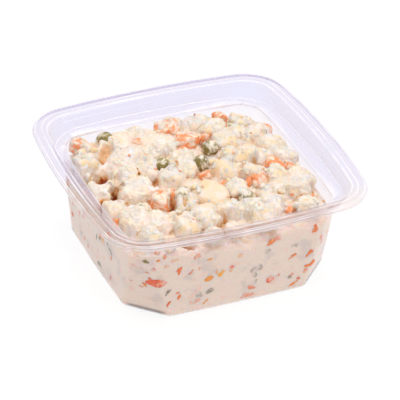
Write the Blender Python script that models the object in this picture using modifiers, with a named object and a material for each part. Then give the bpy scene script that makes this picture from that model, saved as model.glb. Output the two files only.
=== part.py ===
"""Potato salad heaped in a clear square deli tub, modelled at real size in metres.

Two pieces: the thin-walled tub, and the salad that fills it. The origin is the centre of
the tub's flat base, +Z is up and the side that faces -Y is the front.
"""
import math
import random

import bmesh
import bpy
from mathutils import Euler, Matrix, Vector, noise

MM = 0.001

# Tub, outside sizes
RIM_WIDTH = 126 * MM
TUB_HEIGHT = 48.2 * MM
WALL_THICKNESS = 0.6 * MM
RIM_CORNER_RADIUS = 19.4 * MM
RIM_SIDE_RADIUS = 412 * MM
BODY_SIDE_RADIUS = 900 * MM

# Rim section: how far in from the rim's outer edge, and how far below its crest
LIP_DROP = 2.0 * MM
BEAD_WIDTH = 2.2 * MM
FLANGE_WIDTH = 6.4 * MM
FLANGE_SINK = 0.4 * MM
LEDGE_START = 8.0 * MM
LEDGE_END = 13.6 * MM
LEDGE_DEPTH = 7.6 * MM
LEDGE_CORNER_RADIUS = 20.5 * MM
LIP_FLARE = 0.15 * MM
LIP_BEND_DEPTH = 1.3 * MM
CREST_INSET = 0.2 * MM
CREST_DROP = 0.3 * MM
BEAD_DIP = 0.1 * MM
FLANGE_STEP_WIDTH = 0.5 * MM
FLANGE_STEP_DROP = 0.8 * MM
LEDGE_EASE_DROP = 0.2 * MM
LEDGE_EASE_WIDTH = 0.6 * MM
LEDGE_SLOPE = 0.3 * MM
FLANGE_CORNER_EASE = 1.5 * MM
STEP_CORNER_EASE = 2 * MM
LEDGE_CORNER_EASE = 6 * MM

# Body below the ledge: its walls lean in a little, and each corner is a flat facet
BODY_INSET_TOP = 14.1 * MM
BODY_INSET_BASE = 14.9 * MM
BODY_TOP_DEPTH = 9.3 * MM
BODY_CORNER_RADIUS = 4.0 * MM
FACET_WIDTH_TOP = 7.0 * MM
FACET_WIDTH_BASE = 20.5 * MM
FACET_GROWTH = 1.4
HEEL_RADIUS = 3.0 * MM
SHARPEST_CORNER = 0.5 * MM

SIDE_STEPS = 4
CORNER_STEPS = 3
WALL_STEPS = 4
HEEL_STEPS = 3

# Salad
FIT_GAP = 0.35 * MM
CONTACT_DEPTH = 16.6 * MM
CONTACT_WAVE = 1.5 * MM
FRONT_EASE = 12 * MM
FRONT_EASE_START = 4 * MM
# Waves of the contact line: share of the whole wave, turns round the tub, and where it starts
CONTACT_WAVES = ((0.6, 5, 0.8), (0.4, 11, 2.1))
CORE_DEPTH_FRONT = 11.8 * MM
CORE_DEPTH_BACK = 9.2 * MM
SHOULDER_WIDTH = 13 * MM
SHOULDER_ROUNDNESS = 2.2
CORE_UNEVENNESS = 1.2 * MM
UNEVENNESS_SIZE = 16 * MM
CORE_RINGS = 8
RING_CROWDING = 1.6
CORE_WALL_DEPTHS = (24 * MM, 34 * MM)
PIECE_CLEARANCE = 0.8 * MM
HEADROOM = 5.2 * MM
PEA_RADIUS = 4.1 * MM
LAYOUT_SEED = 12

# Where the salad leaves the front wall: along the wall, and depth below the rim, in mm
FRONT_LINE = (
    (-41, 14.5), (-37, 13.8), (-28, 15.7), (-21, 16.9), (-9, 17.3), (0, 18.5), (5, 20.0),
    (10, 18.3), (19, 17.9), (24, 15.2), (29, 14.6), (34, 17.5), (41, 16.4),
)
# Where the core stands higher or lower: place, radius and height, in mm
SWELLS = ((-24, 40, 13, 3.2), (-38, 30, 9, 1.0), (38, 36, 11, -2.5))
# Open spots between the lumps, which no small dice may cover: place and radius, in mm
GAPS = (
    (-37.2, 19.7, 3.4), (-37.0, 7.0, 3.2), (-43.5, -8, 3.0), (-17.2, -15.5, 2.4),
    (-34.5, 31, 2.4), (-33.0, 24.5, 1.8), (-2.9, -25, 1.8), (9.0, -23, 1.6), (-23, -45, 3.0),
    (31.5, -2, 1.6),
)
GAP_MARGIN = 0.3
# Larger potato dice that lie on the heap: place from the tub's centre and edge, all in mm
POTATO_DICE = (
    (-43, 26, 15), (-14, 37, 15), (-25.5, 23, 16), (-29.5, -5, 16), (-39, -24, 13), (-32, -30, 14),
    (-5, 25, 12), (-44, 7, 12), (-2, 12, 11), (-12.5, 0, 11), (-1, -17, 17), (26.5, 7, 12),
    (26, -23, 15), (36, -24, 15), (13, -1.5, 13), (-15, -21, 12), (29.5, 23, 12), (38, 21, 11),
    (15.5, 38, 13), (22, 20.5, 11), (40, 11, 12), (42, 1, 12), (42, -18, 11), (11, -33, 12),
    (1.5, -31, 12), (-20, -35, 12), (-9.5, -33, 12), (20, -35, 12), (23, -9, 10), (-19, 13.5, 11),
    (-44, -13, 11), (21, 32, 12), (35, 33, 10), (-31, 40, 11), (32, 1, 10), (6, 45, 10),
    (-30, 9, 10),
)
# Carrot bits, the same way
CARROT_BITS = (
    (2, 40.5, 11), (6.6, 27, 10), (13, 24, 6), (-18.3, 17, 5), (-40.5, 40.5, 7), (-16.6, 31, 5),
    (28, 41.5, 6), (36.3, 31, 6), (43.5, 25.5, 6), (34.5, -5, 10), (23, -14, 7), (-23, -15.5, 9),
    (2.7, -2.6, 4.5), (0, 17.5, 5), (-45, -21, 6.5), (41, -8.5, 6), (43, -18, 5), (-27.6, -6.6, 4),
    (-14.2, 1.3, 5), (-47, 29.4, 3.5), (-43, 12.5, 3.5), (7.2, -12.2, 4), (18.3, -14, 4),
    (41, -33.5, 3.5), (26.8, -38.7, 3.5), (-38, -27, 3), (-42, -32, 3), (35.6, 3.5, 4), (40, 1, 4),
    (-17.4, -11.4, 4.5), (4, -22, 3),
)
# Peas, place in mm
PEAS = (
    (-27, 42), (-46.5, 30), (-12.4, 10.4), (13.4, 16.7), (4.6, 6.5), (12.8, -25.6),
    (-11.9, -12.6), (-12.8, -32), (27.7, 30.4), (-33, -19),
)
# Smaller dice between them, along a spiral from the centre; sizes in metres
FILLER_COUNT = 260
FILLER_EDGE = 8.5 * MM
FILLER_SPACING = 0.42
FILLER_WALL_ROOM = 0.6
SPIRAL_REACH = 1.25

# Each kind of piece: share of its height that is sunk, and largest tilt
SINK = {"potato": 0.42, "carrot": 0.25, "pea": 0.30, "filler": 0.35}
TILT = {"potato": 0.5, "carrot": 0.6, "pea": 0.4, "filler": 0.8}
ROUNDNESS = {"potato": 0.5, "carrot": 0.25, "filler": 0.5}
LARGE_EDGE = 15 * MM
SMALL_EDGE = 4.6 * MM
BALL_RADIUS = 0.6
UNEVEN_CORNERS = 0.07
DICE_WIDTHS = (0.78, 1.0)
DICE_HEIGHTS = (0.66, 0.86)
PEA_WIDTHS = (0.93, 1.0)
PEA_HEIGHTS = (0.88, 0.97)
FILLER_SIZES = (0.8, 1.15)
LARGEST_SHIFT = 0.5
ROOM_NEEDED = 0.8


def make_collection(name, hidden=False):
    collection = bpy.data.collections.new(name)
    bpy.context.scene.collection.children.link(collection)
    collection.hide_render = hidden
    return collection


def make_material(name, colour, roughness, transmission=0.0):
    material = bpy.data.materials.new(name)
    material.use_nodes = True
    shader = material.node_tree.nodes["Principled BSDF"]
    shader.inputs["Base Color"].default_value = (*colour, 1.0)
    shader.inputs["Roughness"].default_value = roughness
    shader.inputs["Metallic"].default_value = 0.0
    shader.inputs["Transmission Weight"].default_value = transmission
    material.diffuse_color = (*colour, 1.0)
    return material


def make_object(name, bm, collection, material, flat_faces=False):
    """Links a mesh object; flat_faces splits warped faces, which a union needs flat."""
    if flat_faces:
        bmesh.ops.triangulate(bm, faces=bm.faces[:])
    mesh = bpy.data.meshes.new(name)
    bm.to_mesh(mesh)
    bm.free()
    mesh.materials.append(material)
    obj = bpy.data.objects.new(name, mesh)
    collection.objects.link(obj)
    return obj


def ring_outline(inset, corner_radius, side_radius, facet=0.0):
    """Points of a square with bowed sides, counter-clockwise from above.

    Each corner is two arcs that each turn towards the diagonal, with a straight facet
    between them. Without a facet they make one round corner.
    """
    half_width = RIM_WIDTH / 2 - inset
    drop = side_radius - half_width
    reach = (drop + facet / math.sqrt(2)) / (math.sqrt(2) * (side_radius - corner_radius))
    side_angle = math.acos(reach) - math.pi / 4
    quarter = []
    for step in range(SIDE_STEPS):
        angle = side_angle * (2 * step / SIDE_STEPS - 1)
        quarter.append((side_radius * math.sin(angle), side_radius * math.cos(angle) - drop))
    centre_x = (side_radius - corner_radius) * math.sin(side_angle)
    centre_y = (side_radius - corner_radius) * math.cos(side_angle) - drop
    arc = []
    for step in range(CORNER_STEPS + 1):
        angle = side_angle + (math.pi / 4 - side_angle) * step / CORNER_STEPS
        arc.append((centre_x + corner_radius * math.sin(angle),
                    centre_y + corner_radius * math.cos(angle)))
    quarter += arc
    # The second arc mirrors the first about the diagonal; its last point starts the next side
    mirrored = [(y, x) for x, y in reversed(arc)]
    quarter += mirrored[1 if facet == 0.0 else 0:-1]
    if facet == 0.0:
        # Keep one point count in every ring: split the arc's last step in two
        mid = quarter[SIDE_STEPS + CORNER_STEPS]
        before = quarter[SIDE_STEPS + CORNER_STEPS - 1]
        after = quarter[SIDE_STEPS + CORNER_STEPS + 1]
        first = tuple((2 * m + b) / 3 for m, b in zip(mid, before))
        last = tuple((2 * m + a) / 3 for m, a in zip(mid, after))
        quarter[SIDE_STEPS + CORNER_STEPS:SIDE_STEPS + CORNER_STEPS + 1] = [first, last]
    points = []
    for turn in range(4):
        # Quarters follow each other clockwise, so the list is reversed at the end
        for x, y in quarter:
            for _ in range(turn):
                x, y = y, -x
            points.append((x, y))
    points.reverse()
    return points


def body_section(depth):
    """Inset and facet width of the body's outside at a depth below the rim."""
    share = (depth - BODY_TOP_DEPTH) / (TUB_HEIGHT - BODY_TOP_DEPTH)
    share = min(max(share, 0.0), 1.0)
    inset = BODY_INSET_TOP + (BODY_INSET_BASE - BODY_INSET_TOP) * share
    facet = FACET_WIDTH_TOP + (FACET_WIDTH_BASE - FACET_WIDTH_TOP) * share ** FACET_GROWTH
    return inset, facet


def body_ring(depth, offset=0.0):
    """Outline of the body at a depth, moved in from its outside by an offset."""
    inset, facet = body_section(depth)
    return ring_outline(inset + offset, BODY_CORNER_RADIUS - offset, BODY_SIDE_RADIUS, facet)


def heel_rings(offset):
    """Rings that turn from the wall to the base, at an offset inside the tub's outside."""
    turn_depth = TUB_HEIGHT - HEEL_RADIUS
    radius = HEEL_RADIUS - offset
    rings = []
    inset, facet = body_section(turn_depth)
    for step in range(HEEL_STEPS + 1):
        angle = math.pi / 2 * step / HEEL_STEPS
        inward = HEEL_RADIUS - radius * math.cos(angle)
        depth = turn_depth + radius * math.sin(angle)
        corner = max(BODY_CORNER_RADIUS - inward, SHARPEST_CORNER)
        rings.append((ring_outline(inset + inward, corner, BODY_SIDE_RADIUS, facet), depth))
    return rings


def tub_rings():
    """The tub's outside surface from the lip's lower edge down to the base."""
    rim = RIM_CORNER_RADIUS
    # The lofted surface is the underside, one wall thickness inside the visible top and lip
    wall = WALL_THICKNESS
    sink = FLANGE_SINK + wall
    flange_corner = rim - FLANGE_WIDTH
    stations = (
        (wall + LIP_FLARE, LIP_DROP, rim),
        (wall, LIP_BEND_DEPTH, rim),
        (wall + CREST_INSET, wall + CREST_DROP, rim),
        (BEAD_WIDTH / 2 + wall / 2, wall + BEAD_DIP, rim - BEAD_WIDTH / 2),
        (BEAD_WIDTH, sink, rim - BEAD_WIDTH),
        (FLANGE_WIDTH, sink, flange_corner + FLANGE_CORNER_EASE),
        (FLANGE_WIDTH + FLANGE_STEP_WIDTH, sink + FLANGE_STEP_DROP, flange_corner + STEP_CORNER_EASE),
        (LEDGE_START, LEDGE_DEPTH - LEDGE_EASE_DROP, LEDGE_CORNER_RADIUS),
        (LEDGE_START + LEDGE_EASE_WIDTH, LEDGE_DEPTH + wall, LEDGE_CORNER_RADIUS - LEDGE_EASE_WIDTH),
        (LEDGE_END, LEDGE_DEPTH + wall + LEDGE_SLOPE, BODY_CORNER_RADIUS + LEDGE_CORNER_EASE),
    )
    rings = []
    for inset, depth, corner in stations:
        rings.append((ring_outline(inset, corner, RIM_SIDE_RADIUS - inset), depth))
    wall_height = TUB_HEIGHT - HEEL_RADIUS - BODY_TOP_DEPTH
    for step in range(WALL_STEPS):
        depth = BODY_TOP_DEPTH + wall_height * step / WALL_STEPS
        rings.append((body_ring(depth), depth))
    return rings + heel_rings(0.0)


def loft(bm, rings):
    """Quads between rings given as (outline, depth below the rim); returns the vertex rings."""
    levels = []
    for outline, depth in rings:
        depths = depth if isinstance(depth, list) else [depth] * len(outline)
        levels.append([bm.verts.new((x, y, TUB_HEIGHT - d)) for (x, y), d in zip(outline, depths)])
    for upper, lower in zip(levels, levels[1:]):
        count = len(upper)
        for i in range(count):
            j = (i + 1) % count
            bm.faces.new((upper[i], lower[i], lower[j], upper[j]))
    return levels


def make_tub(collection, material):
    """The tub's outside is lofted as an open surface, and the wall is added inwards."""
    bm = bmesh.new()
    levels = loft(bm, tub_rings())
    bm.faces.new(list(reversed(levels[-1])))
    tub = make_object("tub", bm, collection, material)
    wall = tub.modifiers.new("Wall", "SOLIDIFY")
    wall.thickness = WALL_THICKNESS
    wall.offset = -1.0
    wall.use_even_offset = True
    tub.data.shade_smooth()
    tub.data.set_sharp_from_angle(angle=math.radians(35))
    return tub


def front_depth(x):
    """Depth below the rim of the line that the salad makes on the front wall."""
    along = min(max(x / MM, FRONT_LINE[0][0]), FRONT_LINE[-1][0])
    for (left, left_depth), (right, right_depth) in zip(FRONT_LINE, FRONT_LINE[1:]):
        if along <= right:
            share = (along - left) / (right - left)
            return (left_depth + (right_depth - left_depth) * share) * MM
    return FRONT_LINE[-1][1] * MM


def contact_depth(x, y):
    """How far below the rim the salad leaves the wall: a wavy line all round."""
    angle = math.atan2(y, x)
    wave = sum(part * math.sin(turns * angle + start) for part, turns, start in CONTACT_WAVES)
    all_round = CONTACT_DEPTH + CONTACT_WAVE * wave
    share = min(max((-y - abs(x) + FRONT_EASE_START) / FRONT_EASE, 0.0), 1.0)
    share = share * share * (3 - 2 * share)
    return all_round * (1 - share) + front_depth(x) * share


def core_depth(x, y):
    """Depth below the rim of the heap's core, away from the wall."""
    half = RIM_WIDTH / 2 - BODY_INSET_TOP
    back_share = 0.5 + 0.5 * y / half
    depth = CORE_DEPTH_FRONT + (CORE_DEPTH_BACK - CORE_DEPTH_FRONT) * back_share
    return depth + CORE_UNEVENNESS * noise.noise(Vector((x, y, 0.0)) / UNEVENNESS_SIZE)


def wall_distance(x, y):
    """Distance in from the body's outside, seen from above."""
    inset, facet = body_section(CONTACT_DEPTH)
    half = RIM_WIDTH / 2 - inset
    cut = facet / math.sqrt(2) + 0.6 * BODY_CORNER_RADIUS
    to_side = half - max(abs(x), abs(y))
    to_facet = (2 * half - cut - abs(x) - abs(y)) / math.sqrt(2)
    return min(to_side, to_facet)


def surface_depth(x, y):
    """Depth of the core's top under a point of the heap."""
    inward = wall_distance(x, y) - WALL_THICKNESS - FIT_GAP
    share = min(max(inward / SHOULDER_WIDTH, 0.0), 1.0)
    rise = 1.0 - (1.0 - share) ** SHOULDER_ROUNDNESS
    depth = contact_depth(x, y) * (1 - rise) + core_depth(x, y) * rise
    for swell_x, swell_y, radius, height in SWELLS:
        away = math.hypot(x - swell_x * MM, y - swell_y * MM) / (radius * MM)
        depth -= height * MM * math.exp(-away * away)
    return depth


def in_gap(x, y, margin):
    """Whether a place lies in one of the open spots between the lumps."""
    return any(math.hypot(x - gap_x * MM, y - gap_y * MM) < radius * MM + margin
               for gap_x, gap_y, radius in GAPS)


def make_core(collection, material):
    """The salad's mass: it fits the tub's inside, leaves the wall at a wavy line and domes up."""
    offset = WALL_THICKNESS + FIT_GAP
    rings = []
    top_outline = body_ring(CONTACT_DEPTH, offset)
    for ring in range(CORE_RINGS - 1, 0, -1):
        share = (ring / CORE_RINGS) ** RING_CROWDING
        outline = [(x * (1 - share), y * (1 - share)) for x, y in top_outline]
        rings.append((outline, [surface_depth(x, y) for x, y in outline]))
    rings.append((top_outline, [contact_depth(x, y) for x, y in top_outline]))
    for depth in CORE_WALL_DEPTHS:
        rings.append((body_ring(depth, offset), depth))
    rings += heel_rings(offset)
    bm = bmesh.new()
    levels = loft(bm, rings)
    crown = bm.verts.new((0.0, 0.0, TUB_HEIGHT - surface_depth(0.0, 0.0)))
    top = levels[0]
    for i, vert in enumerate(top):
        bm.faces.new((crown, vert, top[(i + 1) % len(top)]))
    bm.faces.new(list(reversed(levels[-1])))
    bmesh.ops.recalc_face_normals(bm, faces=bm.faces)
    return make_object("salad", bm, collection, material, flat_faces=True)


def dice_mesh(kind, edge, proportions, draw):
    """A hand-cut dice: a cube whose faces swell towards a ball, with its corners uneven."""
    cuts = 1
    if edge >= LARGE_EDGE:
        cuts = 2
    if edge < SMALL_EDGE:
        cuts = 0
    bm = bmesh.new()
    bmesh.ops.create_cube(bm, size=1.0)
    if cuts:
        bmesh.ops.subdivide_edges(bm, edges=bm.edges[:], cuts=cuts, use_grid_fill=True)
    for vert in bm.verts:
        point = vert.co.lerp(vert.co.normalized() * BALL_RADIUS, ROUNDNESS[kind])
        point *= 1.0 + draw.uniform(-UNEVEN_CORNERS, UNEVEN_CORNERS)
        vert.co = Vector(a * b for a, b in zip(point, proportions)) * edge
    return bm


def pea_mesh(proportions):
    bm = bmesh.new()
    bmesh.ops.create_icosphere(bm, subdivisions=2, radius=PEA_RADIUS)
    bmesh.ops.scale(bm, vec=proportions, verts=bm.verts)
    return bm


def settle(bm, x, y, sink, turn):
    """Turns a piece, sets it on the core sunk by a share of its height, and keeps it in the tub."""
    bm.transform(turn.to_matrix().to_4x4())
    reach = max(math.hypot(vert.co.x, vert.co.y) for vert in bm.verts)
    height = max(vert.co.z for vert in bm.verts)
    room = wall_distance(x, y) - WALL_THICKNESS - PIECE_CLEARANCE
    if room < reach:
        shift = min((reach - room) / math.hypot(x, y), LARGEST_SHIFT)
        x *= 1 - shift
        y *= 1 - shift
    depth = surface_depth(x, y) - height * (1 - 2 * sink)
    depth = max(depth, height + HEADROOM)
    bm.transform(Matrix.Translation((x, y, TUB_HEIGHT - depth)))
    room = wall_distance(x, y) - WALL_THICKNESS - PIECE_CLEARANCE
    return room >= reach * ROOM_NEEDED


def filler_places():
    """Places on a spiral that lie clear of the larger pieces and of each other."""
    half = RIM_WIDTH / 2 - BODY_INSET_TOP
    golden_angle = math.pi * (3 - math.sqrt(5))
    taken = [(x * MM, y * MM, edge * MM) for x, y, edge in POTATO_DICE + CARROT_BITS]
    taken += [(x * MM, y * MM, 2 * PEA_RADIUS) for x, y in PEAS]
    places = []
    for step in range(FILLER_COUNT):
        radius = SPIRAL_REACH * half * math.sqrt((step + 0.5) / FILLER_COUNT)
        x = radius * math.cos(step * golden_angle)
        y = radius * math.sin(step * golden_angle)
        if wall_distance(x, y) < FILLER_WALL_ROOM * FILLER_EDGE:
            continue
        if in_gap(x, y, GAP_MARGIN * FILLER_EDGE):
            continue
        if all(math.hypot(x - a, y - b) > FILLER_SPACING * (FILLER_EDGE + edge)
               for a, b, edge in taken):
            places.append((x, y))
            taken.append((x, y, FILLER_EDGE))
    return places


def add_pieces(collection, material):
    """Dice, carrot bits and peas that show on the heap, each with a draw of its own."""
    jobs = [("potato", x * MM, y * MM, edge * MM) for x, y, edge in POTATO_DICE]
    jobs += [("carrot", x * MM, y * MM, edge * MM) for x, y, edge in CARROT_BITS]
    jobs += [("pea", x * MM, y * MM, 2 * PEA_RADIUS) for x, y in PEAS]
    jobs += [("filler", x, y, FILLER_EDGE) for x, y in filler_places()]
    for index, (kind, x, y, edge) in enumerate(jobs):
        draw = random.Random(LAYOUT_SEED * 1000 + index)
        tilt = TILT[kind]
        turn = Euler((draw.uniform(-tilt, tilt), draw.uniform(-tilt, tilt), draw.uniform(0, math.pi)))
        proportions = (1.0, draw.uniform(*DICE_WIDTHS), draw.uniform(*DICE_HEIGHTS))
        if kind == "pea":
            bm = pea_mesh((1.0, draw.uniform(*PEA_WIDTHS), draw.uniform(*PEA_HEIGHTS)))
        else:
            if kind == "filler":
                edge *= draw.uniform(*FILLER_SIZES)
            bm = dice_mesh(kind, edge, proportions, draw)
        if settle(bm, x, y, SINK[kind], turn):
            make_object("piece_%d" % index, bm, collection, material, flat_faces=True)
        else:
            bm.free()


def keep_outer_body(mesh):
    """Drops loose scraps and sealed hollows: only the largest shell stays."""
    bm = bmesh.new()
    bm.from_mesh(mesh)
    left = set(bm.faces)
    shells = []
    while left:
        stack = [left.pop()]
        shell = []
        while stack:
            face = stack.pop()
            shell.append(face)
            for edge in face.edges:
                for other in edge.link_faces:
                    if other in left:
                        left.remove(other)
                        stack.append(other)
        shells.append(shell)
    shells.sort(key=len)
    for shell in shells[:-1]:
        bmesh.ops.delete(bm, geom=shell, context="FACES")
    loose = [vert for vert in bm.verts if not vert.link_faces]
    bmesh.ops.delete(bm, geom=loose, context="VERTS")
    bm.to_mesh(mesh)
    bm.free()


def fuse(salad, pieces):
    """Joins the pieces to the core with one union, applied, and clears the collection."""
    union = salad.modifiers.new("Fuse", "BOOLEAN")
    union.operation = "UNION"
    union.operand_type = "COLLECTION"
    union.collection = pieces
    union.solver = "MANIFOLD"
    graph = bpy.context.evaluated_depsgraph_get()
    mesh = bpy.data.meshes.new_from_object(salad.evaluated_get(graph))
    salad.modifiers.clear()
    salad.data = mesh
    mesh.name = "salad"
    for piece in list(pieces.objects):
        bpy.data.objects.remove(piece)
    bpy.data.collections.remove(pieces)
    keep_outer_body(mesh)


def main():
    for obj in list(bpy.data.objects):
        bpy.data.objects.remove(obj)
    assembly = make_collection("potato_salad")
    pieces = make_collection("heap_pieces", hidden=True)
    plastic = make_material("clear_plastic", (0.90, 0.89, 0.96), 0.12, transmission=0.9)
    dressing = make_material("dressed_potato", (0.93, 0.83, 0.68), 0.35)
    make_tub(assembly, plastic)
    salad = make_core(assembly, dressing)
    add_pieces(pieces, dressing)
    fuse(salad, pieces)
    salad.data.shade_smooth()
    salad.data.set_sharp_from_angle(angle=math.radians(50))


main()
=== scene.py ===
import math
import random

import bmesh
import bpy
import numpy as np
from mathutils import Euler, Matrix, Vector, noise
from mathutils.bvhtree import BVHTree


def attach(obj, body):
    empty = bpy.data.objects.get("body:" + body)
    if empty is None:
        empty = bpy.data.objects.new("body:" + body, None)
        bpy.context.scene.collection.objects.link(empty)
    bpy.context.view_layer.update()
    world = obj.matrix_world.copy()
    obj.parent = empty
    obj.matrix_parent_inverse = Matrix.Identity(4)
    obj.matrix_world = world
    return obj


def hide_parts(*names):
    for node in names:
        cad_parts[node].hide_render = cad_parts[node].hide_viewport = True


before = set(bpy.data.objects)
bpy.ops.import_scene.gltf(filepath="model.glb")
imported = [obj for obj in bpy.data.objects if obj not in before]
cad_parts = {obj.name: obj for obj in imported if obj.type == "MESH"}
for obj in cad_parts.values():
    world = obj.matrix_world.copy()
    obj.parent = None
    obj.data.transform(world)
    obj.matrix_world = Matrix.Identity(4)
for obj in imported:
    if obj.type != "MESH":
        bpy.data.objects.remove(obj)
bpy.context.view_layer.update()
mm = 0.001


# Camera, floor and light

cameraView = {
    "azimuth": -23.14, "elevation": 31.78, "roll": -1.09,  # degrees
    "distance": 1.1668, "lens": 240.3, "sensor": 36.0,
    "rimCentre": (0.0, 0.0, 48.2 * mm),
    "rimCentreInPicture": (197.39, 155.39), "pictureSide": 400,
}


def addCamera(view):
    turn, rise = math.radians(view["azimuth"]), math.radians(view["elevation"])
    back = Vector((math.sin(turn) * math.cos(rise), -math.cos(turn) * math.cos(rise), math.sin(rise)))
    roll = Matrix.Rotation(math.radians(-view["roll"]), 3, back)
    side = roll @ Vector((math.cos(turn), math.sin(turn), 0.0))
    up = back.cross(side)
    focal = view["lens"] / view["sensor"] * view["pictureSide"]
    fromCentre = [view["pictureSide"] / 2 - at for at in view["rimCentreInPicture"]]
    aim = (-back + side * fromCentre[0] / focal - up * fromCentre[1] / focal).normalized()
    side = (side - aim * side.dot(aim)).normalized()
    axes = Matrix((side, (-aim).cross(side), -aim)).transposed().to_4x4()
    axes.translation = Vector(view["rimCentre"]) + back * view["distance"]
    bpy.ops.object.camera_add()
    camera = bpy.context.object
    camera.name = "pictureCamera"
    camera.matrix_world = axes
    setAll(camera.data, lens=view["lens"], sensor_width=view["sensor"], clip_start=0.05, clip_end=20.0)
    bpy.context.scene.camera = camera


lamps = {
    "overhead": {"at": (0.06, 0.06, 0.95), "size": 0.75, "power": 4.3},
    "window": {"at": (0.55, -0.70, 0.55), "size": 0.50, "power": 1.6},
    "backLeft": {"at": (-0.60, 0.55, 0.60), "size": 0.30, "power": 0.35},
}
lampAim = (0.0, 0.0, 0.03)  # the tub's middle


def addLamps():
    for name, lamp in lamps.items():
        bpy.ops.object.light_add(type="AREA", location=lamp["at"])
        light = bpy.context.object
        light.name = name
        setAll(light.data, shape="SQUARE", size=lamp["size"], energy=lamp["power"])
        toTub = Vector(lampAim) - Vector(lamp["at"])
        light.rotation_euler = toTub.to_track_quat("-Z", "Y").to_euler()


roomLight = {"colour": (1.0, 0.985, 0.97, 1.0), "strength": 0.70}
backdropLight = {"colour": (1.0, 1.0, 1.0, 1.0), "strength": 1.0}


def addRoom():
    # The studio is white behind the tub and a soft grey all round for what it lights
    world = bpy.data.worlds.new("whiteStudio")
    bpy.context.scene.world = world
    world.use_nodes = True
    tree = world.node_tree
    tree.nodes.clear()
    seen = addNode(tree, "LightPath").outputs["Is Camera Ray"]
    room, backdrop = [addNode(tree, "Background", {"Color": light["colour"], "Strength": light["strength"]})
                      for light in (roomLight, backdropLight)]
    either = addNode(tree, "MixShader", {0: seen, 1: room.outputs[0], 2: backdrop.outputs[0]})
    addNode(tree, "OutputWorld", {"Surface": either.outputs[0]})


floorForm = {"side": 8.0, "under": 0.2 * mm}
floorLook = {
    "Base Color": (0.20, 0.20, 0.20, 1.0), "Roughness": 0.9, "Specular IOR Level": 0.0,
    "Emission Color": (1.0, 1.0, 1.0, 1.0), "Emission Strength": 0.83,
}


def addFloor():
    bpy.ops.mesh.primitive_plane_add(size=floorForm["side"], location=(0.0, 0.0, -floorForm["under"]))
    floor = bpy.context.object
    floor.name = "floor"
    material = bpy.data.materials.new("paleFloor")
    material.use_nodes = True
    setInputs(material.node_tree, material.node_tree.nodes["Principled BSDF"], floorLook)
    floor.data.materials.append(material)


# Small helpers

def setAll(thing, **settings):
    for name, value in settings.items():
        setattr(thing, name, value)


def clearSelection():
    if bpy.context.object and bpy.context.object.mode != "OBJECT":
        bpy.ops.object.mode_set(mode="OBJECT")
    bpy.ops.object.select_all(action="DESELECT")


def pick(piece):
    clearSelection()
    piece.select_set(True)
    bpy.context.view_layer.objects.active = piece


def addModifier(piece, name, kind, **settings):
    setAll(piece.modifiers.new(name, kind), **settings)


def applyAll(piece):
    pick(piece)
    for modifier in list(piece.modifiers):
        bpy.ops.object.modifier_apply(modifier=modifier.name)


def countTriangles(piece):
    return sum(len(face.vertices) - 2 for face in piece.data.polygons)


def finishPiece(piece, material, node):
    piece.data.materials.clear()
    piece.data.materials.append(material)
    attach(piece, "root")
    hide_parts(node)
    print(piece.name, "triangles", countTriangles(piece))


def smoothStep(value, low, high):
    share = np.clip((value - low) / (high - low), 0.0, 1.0)
    return share * share * (3 - 2 * share)


def addPointMark(piece, name, values):
    mark = piece.data.attributes.new(name, "FLOAT", "POINT")
    mark.data.foreach_set("value", np.asarray(values, dtype=np.float32))


# Helpers for finishes: each input of a node is given a value or another node's socket

def setInputs(tree, node, inputs):
    for place, value in inputs.items():
        if isinstance(value, bpy.types.NodeSocket):
            tree.links.new(value, node.inputs[place])
        else:
            node.inputs[place].default_value = value


def addNode(tree, kind, inputs={}, **settings):
    node = tree.nodes.new("ShaderNode" + kind)
    setAll(node, **settings)
    setInputs(tree, node, inputs)
    return node


def newFinish(name):
    material = bpy.data.materials.new(name)
    material.use_nodes = True
    tree = material.node_tree
    return material, tree, tree.nodes["Principled BSDF"], addNode(tree, "TexCoord").outputs["Object"]


def addNoise(tree, spot, scale, detail=4.0, rough=0.55, twist=0.0):
    return addNode(tree, "TexNoise", {"Vector": spot, "Scale": scale, "Detail": detail,
                                      "Roughness": rough, "Distortion": twist}).outputs[0]


def addRange(tree, value, low, high, toLow=0.0, toHigh=1.0, kind="SMOOTHSTEP"):
    ends = {"Value": value, "From Min": low, "From Max": high, "To Min": toLow, "To Max": toHigh}
    return addNode(tree, "MapRange", ends, interpolation_type=kind).outputs["Result"]


def addBlend(tree, share, first, second):
    first, second = [(*end, 1.0) if isinstance(end, tuple) else end for end in (first, second)]
    ends = {"Factor": share, "A": first, "B": second}
    return addNode(tree, "Mix", ends, data_type="RGBA").outputs["Result"]


def addMath(tree, operation, first, second, **settings):
    return addNode(tree, "Math", {0: first, 1: second}, operation=operation, **settings).outputs[0]


def addMark(tree, name):
    return addNode(tree, "Attribute", attribute_name=name).outputs["Fac"]


def addBump(tree, height, strength, distance):
    return addNode(tree, "Bump", {"Strength": strength, "Distance": distance,
                                  "Height": height}).outputs["Normal"]


# The tub's form, shared by the tub and the salad that fills it

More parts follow.
